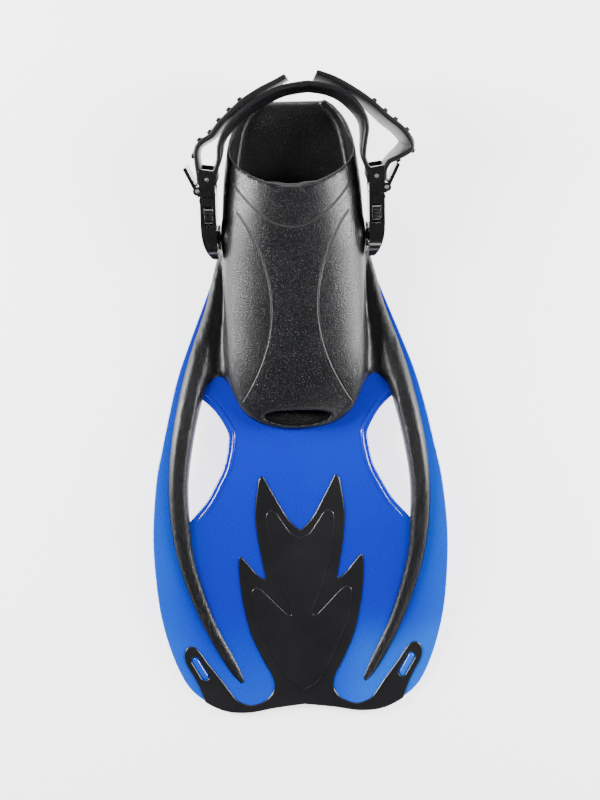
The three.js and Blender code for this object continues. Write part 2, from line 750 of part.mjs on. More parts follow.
// One half of the band: from the back of the heel, round the roller, and out along the tail.
function strapRun(loop, tail) {
  const run = spline([[spanX + wrapRadius, rollerY], ...tail]);
  const tailPoints = run.getSpacedPoints(Math.round(run.getLength() / tailStep));
  const plain = [...spline(loop).getPoints(24), ...wrap()].map((point) => ({ point, proud: 0 }));
  const ridged = tailPoints.map((point, step) => ({ point, proud: isRidge(step) ? ridgeHeight : 0 }));
  return [...plain, ...ridged];
}

function heelStrap() {
  const right = strapRun(rightLoop, rightTail);
  const left = strapRun(leftLoop, leftTail).slice(1).reverse();
  const leftward = left.map(({ point, proud }) => ({ point: new THREE.Vector2(-point.x, point.y), proud }));
  const line = [...leftward, ...right];
  const loopFace = [];
  const ridgedFace = [];
  line.forEach(({ point, proud }, i) => {
    const before = line[Math.max(i - 1, 0)].point;
    const after = line[Math.min(i + 1, line.length - 1)].point;
    const along = after.clone().sub(before).normalize();
    const side = new THREE.Vector2(-along.y, along.x);
    loopFace.push(point.clone().addScaledVector(side, strapThickness / 2));
    ridgedFace.push(point.clone().addScaledVector(side, -strapThickness / 2 - proud));
  });
  return slab([...loopFace, ...ridgedFace.reverse()], -halfStrap, halfStrap);
}

// ---------- Finishes ----------
const finish = (color, roughness, metalness = 0) => () =>
  new THREE.MeshStandardMaterial({ color, roughness, metalness });
const bluePlastic = finish(0x0a4fe0, 0.25);
const speckledRubber = finish(0x1d1d20, 0.6);
const satinRubber = finish(0x0c0c0e, 0.4);
const strapRubber = finish(0x17171a, 0.5);
const glossBlack = finish(0x0a0a0b, 0.2);
const steel = finish(0xb8bcc2, 0.3, 1);

// ---------- Assembly ----------
const fin = new THREE.Group();

function place(parent, name, geometry, material, position = [0, 0, 0]) {
  const mesh = new THREE.Mesh(geometry, material());
  mesh.name = name;
  mesh.position.set(...position);
  parent.add(mesh);
  return mesh;
}

place(fin, 'blade', arched(blade()), bluePlastic);
place(fin, 'foot_pocket', arched(footPocket()), speckledRubber);
place(fin, 'tip_insert', arched(tipInsert()), satinRubber);

for (const side of ['left', 'right']) {
  const half = new THREE.Group();
  half.scale.x = side === 'left' ? -1 : 1;
  fin.add(half);
  place(half, `${side}_rail`, arched(rail()), speckledRubber);

  const stud = new THREE.Group();
  stud.position.set(wallFace, postY, postHeight);
  half.add(stud);
  place(stud, `${side}_post`, post(), glossBlack);
  place(stud, `${side}_post_cap`, postCap(), glossBlack);

  const buckle = new THREE.Group();
  buckle.rotation.x = incline;
  stud.add(buckle);
  place(buckle, `${side}_receiver`, receiver(), glossBlack);
  place(buckle, `${side}_buckle_frame`, buckleFrame(), glossBlack);
  place(buckle, `${side}_squeeze_arm_upper`, squeezeArm(), glossBlack, [0, armHinge.y, armHinge.z]);
  const lowerArm = place(buckle, `${side}_squeeze_arm_lower`, squeezeArm(), glossBlack, [0, armHinge.y, -armHinge.z]);
  lowerArm.scale.z = -1;
  const roller = sleeve(pinRadius + gap, rollerRadius, strapWidth);
  place(buckle, `${side}_roller`, roller, steel, [rollerX, rollerY, 0]);
  const pin = pinAlongZ(pinRadius, -cheekOuter, cheekOuter);
  place(buckle, `${side}_roller_pin`, pin, steel, [rollerX, rollerY, 0]);
  place(buckle, `${side}_lever`, lever(), glossBlack, [leverPin.x, leverPin.y, 0]);
  place(buckle, `${side}_lever_pin`, pin.clone(), steel, [leverPin.x, leverPin.y, 0]);
  place(buckle, `${side}_lever_spring`, leverSpring(), steel, [leverPin.x, leverPin.y, 0]);
}

const strapFrame = new THREE.Group();
strapFrame.position.set(0, postY, postHeight);
strapFrame.rotation.x = incline;
fin.add(strapFrame);
place(strapFrame, 'heel_strap', heelStrap(), strapRubber);

// The origin goes to the middle of the fin's footprint.
const extent = new THREE.Box3().setFromObject(fin);
fin.position.set(0, -(extent.min.y + extent.max.y) / 2, 0);

export default fin;
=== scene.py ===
"""An open-heel swim fin: blue blade, black rubber foot pocket and rails, tip insert, heel strap and buckles.

Everything is drawn in millimetres, with Y 0 at the toe end of the foot pocket, +Y towards the heel and
+X to the right, and is then moved into the CAD's frame in metres.
"""
import math

import bmesh
import bpy
from mathutils import Matrix, Vector


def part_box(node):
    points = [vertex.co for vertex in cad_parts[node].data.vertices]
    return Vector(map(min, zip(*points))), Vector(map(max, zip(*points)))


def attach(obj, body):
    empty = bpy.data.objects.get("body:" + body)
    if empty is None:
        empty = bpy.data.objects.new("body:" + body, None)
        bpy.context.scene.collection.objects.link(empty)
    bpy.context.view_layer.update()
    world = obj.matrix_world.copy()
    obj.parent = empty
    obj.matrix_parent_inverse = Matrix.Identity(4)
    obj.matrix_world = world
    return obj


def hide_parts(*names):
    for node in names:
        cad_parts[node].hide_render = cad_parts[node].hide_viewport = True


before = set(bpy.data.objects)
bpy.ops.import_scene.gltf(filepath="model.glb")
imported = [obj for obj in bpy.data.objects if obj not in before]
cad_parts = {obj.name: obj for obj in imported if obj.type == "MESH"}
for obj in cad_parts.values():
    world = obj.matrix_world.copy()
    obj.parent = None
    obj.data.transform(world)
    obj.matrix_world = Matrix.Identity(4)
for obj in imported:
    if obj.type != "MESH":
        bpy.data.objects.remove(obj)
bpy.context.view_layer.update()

MM = 0.001
TOE_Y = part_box("foot_pocket")[0].y
TO_FRAME = Matrix.Translation((0, TOE_Y, 0)) @ Matrix.Diagonal((MM, MM, MM, 1))
FROM_FRAME = TO_FRAME.inverted()

# ---------- Sizes shared with the CAD, in millimetres ----------
HALF_BLADE = 94.5
BLADE_REACH = 183
BLADE_ROOT = 101
TONGUE_DIP = 26
BLADE_THICKNESS = 3
LIP_DEPTH = 2.4
INSERT_PROUD = 0.8
HALF_POCKET = 45
POCKET_LENGTH = 211.5
POCKET_WALL = 4.2
SOLE_DEPTH = 5.5
FOOTBED = 3.5
INSTEP = 58
WEB_SKIN = 1.6
WEB_END = 34
ARCH = 12
POST_Y = 122.5
POST_Z = 26
INCLINE = math.radians(15)
WALL_FACE = 45.5
STRAP_WIDTH = 24
STRAP_THICKNESS = 3.2
ROLLER_X = 7
ROLLER_Y = 38
ROLLER_RADIUS = 3.1
PIN_RADIUS = 1.2
LEVER_PIN = (13.2, 31)
CHEEK_OUTER = 14.6
HEEL_REACH = 52
WRAP_RADIUS = 5
REST_TIP = -BLADE_REACH * 0.94
REST_HEEL = POST_Y - 10
HALF_PLATE = BLADE_THICKNESS / 2


# ---------- Curves ----------
def lerp(start, end, share):
    return start + (end - start) * share


def clamp(value, low=0.0, high=1.0):
    return min(max(value, low), high)


def spline(points, steps):
    """A smooth line through the points, with so many steps between neighbours."""
    points = [Vector(point) for point in points]
    ends = [points[0]] + points + [points[-1]]
    line = []
    for a, b, c, d in zip(ends, ends[1:], ends[2:], ends[3:]):
        for step in range(steps):
            t = step / steps
            cubic = 3 * b - a - 3 * c + d
            square = 2 * a - 5 * b + 4 * c - d
            line.append((2 * b + (c - a) * t + square * t * t + cubic * t ** 3) / 2)
    return line + [points[-1]]


def profile(pairs):
    """A smooth function through (place, value) pairs."""
    line = spline(pairs, 12)

    def value(at):
        for before, after in zip(line, line[1:]):
            if at <= after.x:
                return lerp(before.y, after.y, clamp((at - before.x) / (after.x - before.x)))
        return line[-1].y

    return value


def arch(y):
    """Height of the blade's mid-plane above the ground."""
    along = clamp((y - REST_TIP) / (REST_HEEL - REST_TIP))
    return lerp(LIP_DEPTH, SOLE_DEPTH, along) + ARCH * math.sin(math.pi * along) ** 2


def on_blade(place):
    """A place on the right half of the blade, given in shares of its half width and of its reach or root."""
    across, along = place
    return Vector((across * HALF_BLADE, along * (BLADE_REACH if along < 0 else BLADE_ROOT)))


def plan(places, steps):
    return spline([on_blade(place) for place in places], steps)


def both_halves(right):
    """A closed outline from its right half, which starts and ends on the middle line."""
    return right + [Vector((-point.x, point.y)) for point in reversed(right[1:-1])]


# ---------- Meshes ----------
def ring(bm, points):
    """A closed loop of edges."""
    corners = [bm.verts.new(point) for point in points]
    return [bm.edges.new(pair) for pair in zip(corners, corners[1:] + corners[:1])]


def loft(bm, sections):
    """A closed skin over a row of rings."""
    rings = [ring(bm, section) for section in sections]
    for before, after in zip(rings, rings[1:]):
        bmesh.ops.bridge_loops(bm, edges=before + after)
    for end in (rings[0], rings[-1]):
        bmesh.ops.edgeloop_fill(bm, edges=end)
    return bm


def everything(bm):
    return bm.verts[:] + bm.edges[:] + bm.faces[:]


def stations(bm, low, high, step, axis=1):
    """Divides a mesh where it crosses a row of planes, so that it can follow a curve; axis 1 is Y."""
    normal = Vector((axis == 0, axis == 1, axis == 2))
    count = int((high - low) / step)
    for i in range(count + 1):
        bmesh.ops.bisect_plane(bm, geom=everything(bm), plane_co=normal * (low + i * step), plane_no=normal)


def arched(bm):
    for corner in bm.verts:
        corner.co.z += arch(corner.co.y)
    return bm


PLATE_ENDS = (-190, 110)
PLATE_SIDES = (-90, 90)
HOLDING_RING = 0.4


def plate(outline, holes, low, high, rounding):
    """A flat plate with softened edges, drawn from its outline and its holes."""
    bm = bmesh.new()
    edges = [edge for loop in [outline] + holes for edge in ring(bm, [(p.x, p.y, 0) for p in loop])]
    bmesh.ops.triangle_fill(bm, edges=edges, use_beauty=True, normal=(0, 0, 1))
    drop = bm.verts.layers.float.new("drop")
    rim = bmesh.ops.inset_region(bm, faces=bm.faces[:], thickness=rounding * 0.4, use_boundary=True)
    done = set(rim["faces"])
    for thickness in (rounding * 0.6, HOLDING_RING):
        inside = [face for face in bm.faces if face not in done]
        done |= set(bmesh.ops.inset_region(bm, faces=inside, thickness=thickness, use_boundary=True)["faces"])
    for face in rim["faces"]:
        for corner in face.verts:
            corner[drop] = rounding if corner.is_boundary else rounding * 0.3
    stations(bm, *PLATE_ENDS, 7)
    stations(bm, *PLATE_SIDES, 15, axis=0)
    skin = bmesh.ops.extrude_face_region(bm, geom=bm.faces[:])
    upper = [item for item in skin["geom"] if isinstance(item, bmesh.types.BMVert)]
    for corner in bm.verts:
        corner.co.z = low + corner[drop]
    for corner in upper:
        corner.co.z = high - corner[drop]
    return bm


def prism(outline, low, high, turn=Matrix()):
    """A solid from an outline in (x, y), extruded along z and then turned."""
    bm = bmesh.new()
    bmesh.ops.edgeloop_fill(bm, edges=ring(bm, [(p[0], p[1], low) for p in outline]))
    skin = bmesh.ops.extrude_face_region(bm, geom=bm.faces[:])
    upper = [item for item in skin["geom"] if isinstance(item, bmesh.types.BMVert)]
    bmesh.ops.translate(bm, vec=(0, 0, high - low), verts=upper)
    bmesh.ops.transform(bm, matrix=turn, verts=bm.verts)
    return bm


def swept(path, section, ups, sizes=None):
    """A bar along a path; the section's first number goes to the left of the path, the second along up."""
    sections = []
    for i, point in enumerate(path):
        along = (path[min(i + 1, len(path) - 1)] - path[max(i - 1, 0)]).normalized()
        up = ups[i] if isinstance(ups, list) else ups
        side = up.cross(along).normalized()
        lift = along.cross(side)
        size = sizes[i] if sizes else 1
        sections.append([point + side * s * size + lift * u * size for s, u in section])
    return loft(bmesh.new(), sections)


def round_section(width, height, corners=12):
    angles = [math.tau * i / corners for i in range(corners)]
    return [(width / 2 * math.cos(a), height / 2 * math.sin(a)) for a in angles]


def soft_rectangle(width, height, radius, steps=4):
    """A rectangle with round corners, each of so many points."""
    points = []
    for quarter, (right, top) in enumerate([(1, 1), (-1, 1), (-1, -1), (1, -1)]):
        for i in range(steps):
            angle = math.pi / 2 * (quarter + i / (steps - 1))
            x = right * (width / 2 - radius) + radius * math.cos(angle)
            y = top * (height / 2 - radius) + radius * math.sin(angle)
            points.append((x, y))
    return points


def turned(outline, axis_turn, steps=40):
    """A solid turned round z from (radius, height) pairs that start and end on the axis or on each other."""
    bm = bmesh.new()
    corners = [bm.verts.new((radius, 0, height)) for radius, height in outline]
    edges = [bm.edges.new(pair) for pair in zip(corners, corners[1:])]
    bmesh.ops.spin(
        bm, geom=corners + edges, cent=(0, 0, 0), axis=(0, 0, 1), angle=math.tau, steps=steps,
        use_merge=True, use_duplicate=False,
    )
    bmesh.ops.remove_doubles(bm, verts=bm.verts, dist=1e-4)
    bmesh.ops.transform(bm, matrix=axis_turn, verts=bm.verts)
    return bm


def add(target, *others):
    """Puts other meshes into one."""
    for other in others:
        mesh = bpy.data.meshes.new("part")
        other.to_mesh(mesh)
        other.free()
        target.from_mesh(mesh)
        bpy.data.meshes.remove(mesh)
    return target


def mirror_of(bm):
    copy = bm.copy()
    bmesh.ops.scale(copy, vec=(-1, 1, 1), verts=copy.verts)
    bmesh.ops.reverse_faces(copy, faces=copy.faces)
    return copy


def to_object(bm, name):
    bmesh.ops.recalc_face_normals(bm, faces=bm.faces)
    mesh = bpy.data.meshes.new(name)
    bm.to_mesh(mesh)
    bm.free()
    obj = bpy.data.objects.new(name, mesh)
    bpy.context.scene.collection.objects.link(obj)
    return obj


def settled(obj):
    """The mesh that an object's modifiers make, as a bmesh; the object itself is removed."""
    bpy.context.view_layer.update()
    made = obj.evaluated_get(bpy.context.evaluated_depsgraph_get()).to_mesh()
    bm = bmesh.new()
    bm.from_mesh(made)
    bpy.data.objects.remove(obj)
    return bm


def carved(bm, *tools):
    """One solid with others cut out of it."""
    obj = to_object(bm, "carved")
    others = [to_object(tool, "tool") for tool in tools]
    for other in others:
        cut = obj.modifiers.new("cut", "BOOLEAN")
        cut.operation = "DIFFERENCE"
        cut.solver = "EXACT"
        cut.object = other
    result = settled(obj)
    for other in others:
        bpy.data.objects.remove(other)
    return result


def finish(bm, name, body, material, slot, *nodes, matrix=TO_FRAME, sharp=40, bevel=0, flat=False):
    """Places a piece in the CAD's frame, with its finish, its body and the CAD nodes it stands for."""
    bmesh.ops.transform(bm, matrix=matrix, verts=bm.verts)
    bmesh.ops.recalc_face_normals(bm, faces=bm.faces)
    for face in bm.faces:
        face.smooth = True
    for edge in bm.edges:
        edge.smooth = edge.calc_face_angle(0) < math.radians(sharp)
    obj = to_object(bm, name)
    obj.data.materials.append(material)
    if bevel:
        edges = obj.modifiers.new("edges", "BEVEL")
        edges.width = bevel * MM
        edges.segments = 3
        edges.limit_method = "ANGLE"
        edges.angle_limit = math.radians(32)
        edges.harden_normals = True
    if flat:
        normals = obj.modifiers.new("normals", "WEIGHTED_NORMAL")
        normals.keep_sharp = True
    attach(obj, body)
    if nodes:
        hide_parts(*nodes)
    return obj


# ---------- Finishes ----------
class Value:
    """A number that varies over a surface, written like an ordinary number."""

    def __init__(self, paint, socket):
        self.paint = paint
        self.socket = socket

    def __add__(self, other):
        return self.paint.math("ADD", self, other)

    def __sub__(self, other):
        return self.paint.math("SUBTRACT", self, other)

    def __rsub__(self, other):
        return self.paint.math("SUBTRACT", other, self)

    def __mul__(self, other):
        return self.paint.math("MULTIPLY", self, other)

    def __truediv__(self, other):
        return self.paint.math("DIVIDE", self, other)

    def __pow__(self, other):
        return self.paint.math("POWER", self, other)

    def __abs__(self):
        return self.paint.math("ABSOLUTE", self)

    __radd__ = __add__
    __rmul__ = __mul__

    def rise(self, low, high):
        """0 below low, 1 above high, and smooth between; it falls where low is above high."""
        mapped = self.paint.node(
            "ShaderNodeMapRange", {"interpolation_type": "SMOOTHSTEP"},
            {"Value": self, "From Min": low, "From Max": high},
        )
        return Value(self.paint, mapped.outputs["Result"])


class Paint:
    """A material that is built from nodes."""

    def __init__(self, name, **constants):
        self.material = bpy.data.materials.new(name)
        self.material.use_nodes = True
        self.tree = self.material.node_tree
        self.shader = self.tree.nodes["Principled BSDF"]
        for name, value in constants.items():
            self.feed(self.shader.inputs[name.replace("_", " ")], value)
        self.place = self.node("ShaderNodeTexCoord").outputs["Object"]

    def feed(self, socket, value):
        if isinstance(value, Value):
            value = value.socket
        if isinstance(value, bpy.types.NodeSocket):
            self.tree.links.new(value, socket)
        else:
            socket.default_value = value

    def node(self, kind, settings=None, inputs=None):
        node = self.tree.nodes.new(kind)
        for name, value in (settings or {}).items():
            setattr(node, name, value)
        for name, value in (inputs or {}).items():
            self.feed(node.inputs[name], value)
        return node

    def math(self, operation, *values):
        node = self.node("ShaderNodeMath", {"operation": operation}, dict(enumerate(values)))
        return Value(self, node.outputs[0])

    def stretched(self, scale):
        mapping = self.node("ShaderNodeMapping", {}, {"Vector": self.place, "Scale": scale})
        return mapping.outputs[0]

    def noise(self, size_mm, detail=3, place=None):
        inputs = {"Vector": place or self.place, "Scale": 1 / (size_mm * MM), "Detail": detail}
        return Value(self, self.node("ShaderNodeTexNoise", {}, inputs).outputs[0])

    def cells(self, size_mm, place=None):
        inputs = {"Vector": place or self.place, "Scale": 1 / (size_mm * MM)}
        return Value(self, self.node("ShaderNodeTexVoronoi", {}, inputs).outputs["Distance"])

    def axes(self):
        """X, Y and Z in millimetres, with Y 0 at the toe."""
        parts = self.node("ShaderNodeSeparateXYZ", {}, {"Vector": self.place}).outputs
        x, y, z = (Value(self, part) * (1 / MM) for part in parts)
        return x, y - TOE_Y / MM, z

    def mix(self, share, first, second):
        inputs = {0: share, 6: first, 7: second}
        return self.node("ShaderNodeMix", {"data_type": "RGBA"}, inputs).outputs[2]

    def bump(self, height, distance_mm, strength=1.0):
        inputs = {"Height": height, "Distance": distance_mm * MM, "Strength": strength}
        bump = self.node("ShaderNodeBump", {}, inputs)
        self.feed(self.shader.inputs["Normal"], bump.outputs[0])

    def vary(self, **inputs):
        for name, value in inputs.items():
            self.feed(self.shader.inputs[name.replace("_", " ")], value)
        return self.material


# The panel lines over the instep: two side lines that are closest at the waist, and one bow below the cuff.
WAIST_Y = 76.7
WAIST_HALF = 14.6
WAIST_BEND = 0.0058
CUFF_Y = 125.2
CUFF_BEND = 0.021
LINE_EDGES = (0.75, 0.2)


def moulded_rubber():
    """Speckled rubber with fine panel lines over the instep."""
    paint = Paint("moulded_rubber", Specular_IOR_Level=0.45)
    x, y, z = paint.axes()
    waist = WAIST_HALF + (y - WAIST_Y) ** 2 * WAIST_BEND
    side_line = abs(abs(x) - waist) / ((y - WAIST_Y) ** 2 * (2 * WAIST_BEND) ** 2 + 1) ** 0.5
    cuff_line = abs(y - CUFF_Y - x ** 2 * CUFF_BEND) / (x ** 2 * (2 * CUFF_BEND) ** 2 + 1) ** 0.5
    above = z.rise(19, 22)
    side_groove = side_line.rise(*LINE_EDGES) * y.rise(16, 20) * y.rise(137, 133)
    cuff_groove = cuff_line.rise(*LINE_EDGES) * abs(x).rise(38, 35)
    groove = (side_groove + cuff_groove) * above
    grain = paint.noise(0.7, 2)
    speckle = paint.noise(0.75, 1).rise(0.52, 0.72)
    cloud = paint.noise(26, 4)
    dark = paint.mix(cloud, (0.003, 0.003, 0.0035, 1), (0.006, 0.006, 0.007, 1))
    color = paint.mix(speckle * 0.4, dark, (0.04, 0.041, 0.045, 1))
    paint.bump(grain * 0.7 + speckle * 0.5 - groove * 2.4, 0.2, 0.85)
    return paint.vary(Base_Color=color, Roughness=0.27 + cloud * 0.12 + groove * 0.2)


def blue_plastic():
    """Glossy blue plastic, paled by painted light that shines through its thin outer edges and tip, and by a
    painted reflection near the tip's right side.
    """
    paint = Paint("blue_plastic", Coat_Weight=0.6, Coat_Roughness=0.06)
    x, y, z = paint.axes()
    cloud = paint.noise(60, 3)
    # Painted light: the outer edges are paled as though light shone through the thin plastic.
    edge = abs(x).rise(58, 96) * 0.55
    # Painted light and painted reflection: the tip is paled as though light shone through it, and its right
    # side more, as a lamp's painted reflection.
    tip = y.rise(-105, -180) * 0.35 + (y.rise(-118, -150) * x.rise(16, 44)) * 0.45
    # Painted light and tone: the painted edge and tip light, with a random tone of the plastic added.
    painted_light_and_tone = paint.math("MINIMUM", edge + tip + (cloud - 0.5) * 0.25, 0.85)
    color = paint.mix(painted_light_and_tone, (0.0, 0.012, 0.42, 1), (0.0, 0.12, 0.68, 1))
    ripple = paint.noise(14, 2)
    fine = paint.noise(0.35, 2, paint.stretched((1, 0.15, 1)))
    paint.bump(ripple + fine * 0.04, 0.12, 0.35)
    return paint.vary(Base_Color=color, Roughness=0.2 + fine * 0.1 + cloud * 0.06)


def satin_rubber():
    """The tip insert's smooth black rubber."""
    paint = Paint("satin_rubber", Specular_IOR_Level=0.5)
    cloud = paint.noise(30, 4)
    fine = paint.noise(0.5, 3)
    color = paint.mix(cloud, (0.004, 0.004, 0.005, 1), (0.012, 0.012, 0.013, 1))
    paint.bump(fine * 0.4 + cloud, 0.1, 0.5)
    return paint.vary(Base_Color=color, Roughness=0.22 + cloud * 0.12 + fine * 0.05)


def strap_rubber():
    """Black rubber, slightly dusty, with a fine moulded grain."""
    paint = Paint("strap_rubber", Specular_IOR_Level=0.3)
    cloud = paint.noise(18, 4)
    pits = paint.cells(0.8)
    grain = paint.noise(0.4, 3)
    color = paint.mix(cloud, (0.004, 0.004, 0.005, 1), (0.011, 0.011, 0.012, 1))
    paint.bump(grain * 0.6 + pits * 0.5, 0.12, 0.7)
    return paint.vary(Base_Color=color, Roughness=0.24 + cloud * 0.16 + grain * 0.08)


def buckle_plastic():
    """Glossy black plastic with fine scuffs."""
    paint = Paint("buckle_plastic", Specular_IOR_Level=0.55, Coat_Weight=0.4, Coat_Roughness=0.08)
    scuff = paint.noise(0.5, 4, paint.stretched((1, 0.08, 0.6)))
    cloud = paint.noise(6, 3)
    color = paint.mix(cloud, (0.003, 0.003, 0.003, 1), (0.01, 0.01, 0.011, 1))
    paint.bump(cloud + scuff * 0.15, 0.08, 0.4)
    return paint.vary(Base_Color=color, Roughness=0.14 + scuff.rise(0.5, 0.8) * 0.25 + cloud * 0.06)


def brushed_steel():
    """Stainless steel, brushed along its length, a little dull in places."""
    paint = Paint("brushed_steel", Metallic=1.0)
    brush = paint.noise(0.3, 4, paint.stretched((1, 1, 0.08)))
    stain = paint.noise(3, 3)
    color = paint.mix(stain, (0.5, 0.5, 0.51, 1), (0.68, 0.68, 0.69, 1))
    paint.bump(brush, 0.03, 0.5)
    return paint.vary(Base_Color=color, Roughness=0.2 + brush * 0.15 + stain * 0.12)


RUBBER = moulded_rubber()
BLUE = blue_plastic()
SATIN = satin_rubber()
STRAP = strap_rubber()
GLOSS = buckle_plastic()
STEEL = brushed_steel()

# ---------- Blade ----------
BLADE_SIDE = [
    (0.545, 1), (0.619, 0.815), (0.715, 0.584), (0.804, 0.354), (0.87, 0.123), (0.925, -0.06),
    (0.97, -0.187), (1, -0.38), (0.984, -0.571), (0.946, -0.699), (0.87, -0.827), (0.764, -0.923),
    (0.578, -0.986), (0.396, -1), (0.2, -0.985), (0, -0.973),
]
WINDOW_INNER = [
    (0.66, 0.21), (0.561, 0.123), (0.485, 0.008), (0.471, -0.035), (0.503, -0.123), (0.561, -0.187),
    (0.633, -0.251), (0.725, -0.305),
]

# The rail's run: place on the blade, width, height above and below the mid-plane.
RAIL_RUN = [
    (0.512, 1.09, 3, 5, 3), (0.525, 0.99, 6, 6.5, 3.8), (0.556, 0.813, 9, 8, 4.6),
    (0.616, 0.586, 13, 8.6, 5.4), (0.679, 0.354, 16, 8.8, 6),
    (0.743, 0.123, 15, 8.6, 6.4), (0.79, -0.06, 14.3, 8.2, 6.6),
    (0.817, -0.187, 13.4, 7.8, 6.6), (0.812, -0.315, 13, 7.2, 6.2), (0.783, -0.443, 11.4, 6.4, 5.4),
    (0.717, -0.571, 10.3, 5.4, 4.4), (0.623, -0.699, 9.1, 4.4, 3.4), (0.495, -0.827, 8.4, 3.4, 2.6),
    (0.407, -0.904, 5.4, 2.3, 2),
]
RAIL_STEPS = 9
RAIL = spline([(*on_blade(run[:2]), *run[2:]) for run in RAIL_RUN], RAIL_STEPS)


def beside_rail(i, share, extra=0.0):
    """A point beside the rail's centre line, at a share of its half width; -1 is the inner edge."""
    here = RAIL[i]
    along = RAIL[min(i + 1, len(RAIL) - 1)] - RAIL[max(i - 1, 0)]
    offset = share * (here[2] / 2 + extra) / math.hypot(along[0], along[1])
    return Vector((here[0] - along[1] * offset, here[1] + along[0] * offset))


def window_inner():
    return plan(WINDOW_INNER, 8)


WINDOW_ALONG_RAIL = (0.37, 0.62)
UNDER_RAIL = 1.5


def window():
    """The side window, its outer edge hidden under the rail."""
    first, last = (round((len(RAIL) - 1) * share) for share in WINDOW_ALONG_RAIL)
    outer = [beside_rail(i, -1, -UNDER_RAIL) for i in range(last, first - 1, -3)]
    return window_inner() + outer


def root_edge():
    """The blade's root edge, which sags between its shoulders."""
    shoulder = on_blade(BLADE_SIDE[0])
    dip = BLADE_ROOT - TONGUE_DIP * 0.7
    points = [(-shoulder.x, shoulder.y), (-shoulder.x * 0.6, dip), (0, BLADE_ROOT - TONGUE_DIP)]
    points += [(shoulder.x * 0.6, dip), tuple(shoulder)]
    return spline(points, 6)


def blade_outline():
    right = plan(BLADE_SIDE, 6)
    left = [Vector((-point.x, point.y)) for point in reversed(right[:-1])]
    return right + left + root_edge()[1:-1]


def leftwards(points):
    return [Vector((-point.x, point.y)) for point in points]


def raised(points, height):
    return [Vector((point.x, point.y, arch(point.y) + height)) for point in points]


def tapered(count, steps=6):
    """Sizes that shrink to nearly nothing over the ends of a bar."""
    return [max(math.sin(math.pi / 2 * clamp(min(i, count - 1 - i) / steps)), 0.15) for i in range(count)]


BEAD = (2.2, 1.7)
BEAD_SET_BACK = 3.4


def window_rim():
    """The low bead along the blade's side of a window."""
    edge = window_inner()
    path = []
    for i, point in enumerate(edge):
        along = (edge[min(i + 1, len(edge) - 1)] - edge[max(i - 1, 0)]).normalized()
        path.append(point + Vector((along.y, -along.x)) * BEAD_SET_BACK)
    path = raised(path, HALF_PLATE - 0.1)
    return swept(path, round_section(*BEAD), Vector((0, 0, 1)), tapered(len(path)))


PAD_CENTER = on_blade((0.707, -0.8415))
PAD_TURN = math.radians(60)
SUNK = 0.6  # how far a raised piece reaches down into the plate


def slot_outline(length, width):
    """A slot with round ends, over the tip pad."""
    outline = []
    turn = Matrix.Rotation(PAD_TURN, 2)
    for side, start in ((1, -90), (-1, 90)):
        for i in range(9):
            angle = math.radians(start + i * 22.5)
            reach = Vector((side * (length - width) / 2, 0))
            round_end = Vector((math.cos(angle), math.sin(angle))) * width / 2
            outline.append(turn @ (reach + round_end) + PAD_CENTER)
    return outline


def blade():
    """The plate with its two windows, the beads beside them, and the bosses that fill the tip pads' slots."""
    right = window()
    body = arched(plate(blade_outline(), [right, leftwards(right)], -HALF_PLATE, HALF_PLATE, 0.7))
    boss = arched(plate(slot_outline(16, 4.2), [], HALF_PLATE - SUNK, HALF_PLATE + 0.6, 0.9))
    rim = window_rim()
    return add(body, mirror_of(boss), boss, mirror_of(rim), rim)


# ---------- Tip insert ----------
FLAME = [
    [(0, -0.355), (0.079, -0.315), (0.151, -0.251), (0.217, -0.187), (0.24, -0.163)],
    [(0.26, -0.165), (0.278, -0.187), (0.303, -0.284), (0.299, -0.348), (0.283, -0.411), (0.2455, -0.52)],
    [(0.252, -0.528), (0.303, -0.507), (0.354, -0.475), (0.406, -0.443)],
    [
        (0.418, -0.446), (0.426, -0.475), (0.42, -0.539), (0.403, -0.61), (0.368, -0.699), (0.324, -0.763),
        (0.265, -0.827), (0.217, -0.874), (0.203, -0.915), (0.238, -0.948), (0.29, -0.966), (0.358, -0.975),
        (0.42, -0.968), (0.472, -0.95), (0.553, -0.891), (0.647, -0.827), (0.695, -0.79), (0.735, -0.766),
        (0.78, -0.762), (0.812, -0.785), (0.805, -0.82), (0.764, -0.86), (0.732, -0.891), (0.705, -0.923),
        (0.684, -0.955),
    ],
]
PANEL = [
    (0, -0.381), (0.063, -0.364), (0.123, -0.321), (0.165, -0.29), (0.201, -0.284), (0.232, -0.306),
    (0.225, -0.385), (0.188, -0.476), (0.126, -0.574), (0.074, -0.638), (0.09, -0.657), (0.167, -0.62),
    (0.271, -0.565), (0.315, -0.556), (0.345, -0.582), (0.317, -0.672), (0.233, -0.77), (0.126, -0.88),
    (0, -0.927),
]


LIP_HALF = HALF_BLADE * 0.68
LIP_WIDTH = 4


def tip_insert():
    """The flame-shaped panel, the lip that wraps the blade's tip, and the raised inner panel."""
    right = [point for curve in FLAME for point in plan(curve, 4)]
    tip = [point for point in plan(BLADE_SIDE, 6) if point.x < LIP_HALF and point.y < -BLADE_REACH / 2]
    overhang = Vector((0, -0.6))
    edge = [point + overhang for point in tip]
    outline = both_halves(right + edge)
    slot_hole = slot_outline(17, 5)
    holes = [slot_hole, leftwards(slot_hole)]
    face = arched(plate(outline, holes, HALF_PLATE - SUNK, HALF_PLATE + INSERT_PROUD, 0.6))
    back = [point + Vector((0, LIP_WIDTH)) for point in reversed(tip)]
    lip = arched(plate(both_halves_open(edge, back), [], -LIP_DEPTH, HALF_PLATE + 0.3, 0.7))
    panel = arched(plate(both_halves(plan(PANEL, 5)), [], HALF_PLATE, HALF_PLATE + INSERT_PROUD + 0.35, 0.5))
    return add(face, lip, panel)


def both_halves_open(edge, back):
    """The lip's crescent, from the tip edge on the right and the line behind it."""
    left_edge = leftwards(list(reversed(edge[:-1])))
    left_back = leftwards(list(reversed(back[1:])))
    return edge + left_edge + left_back + back


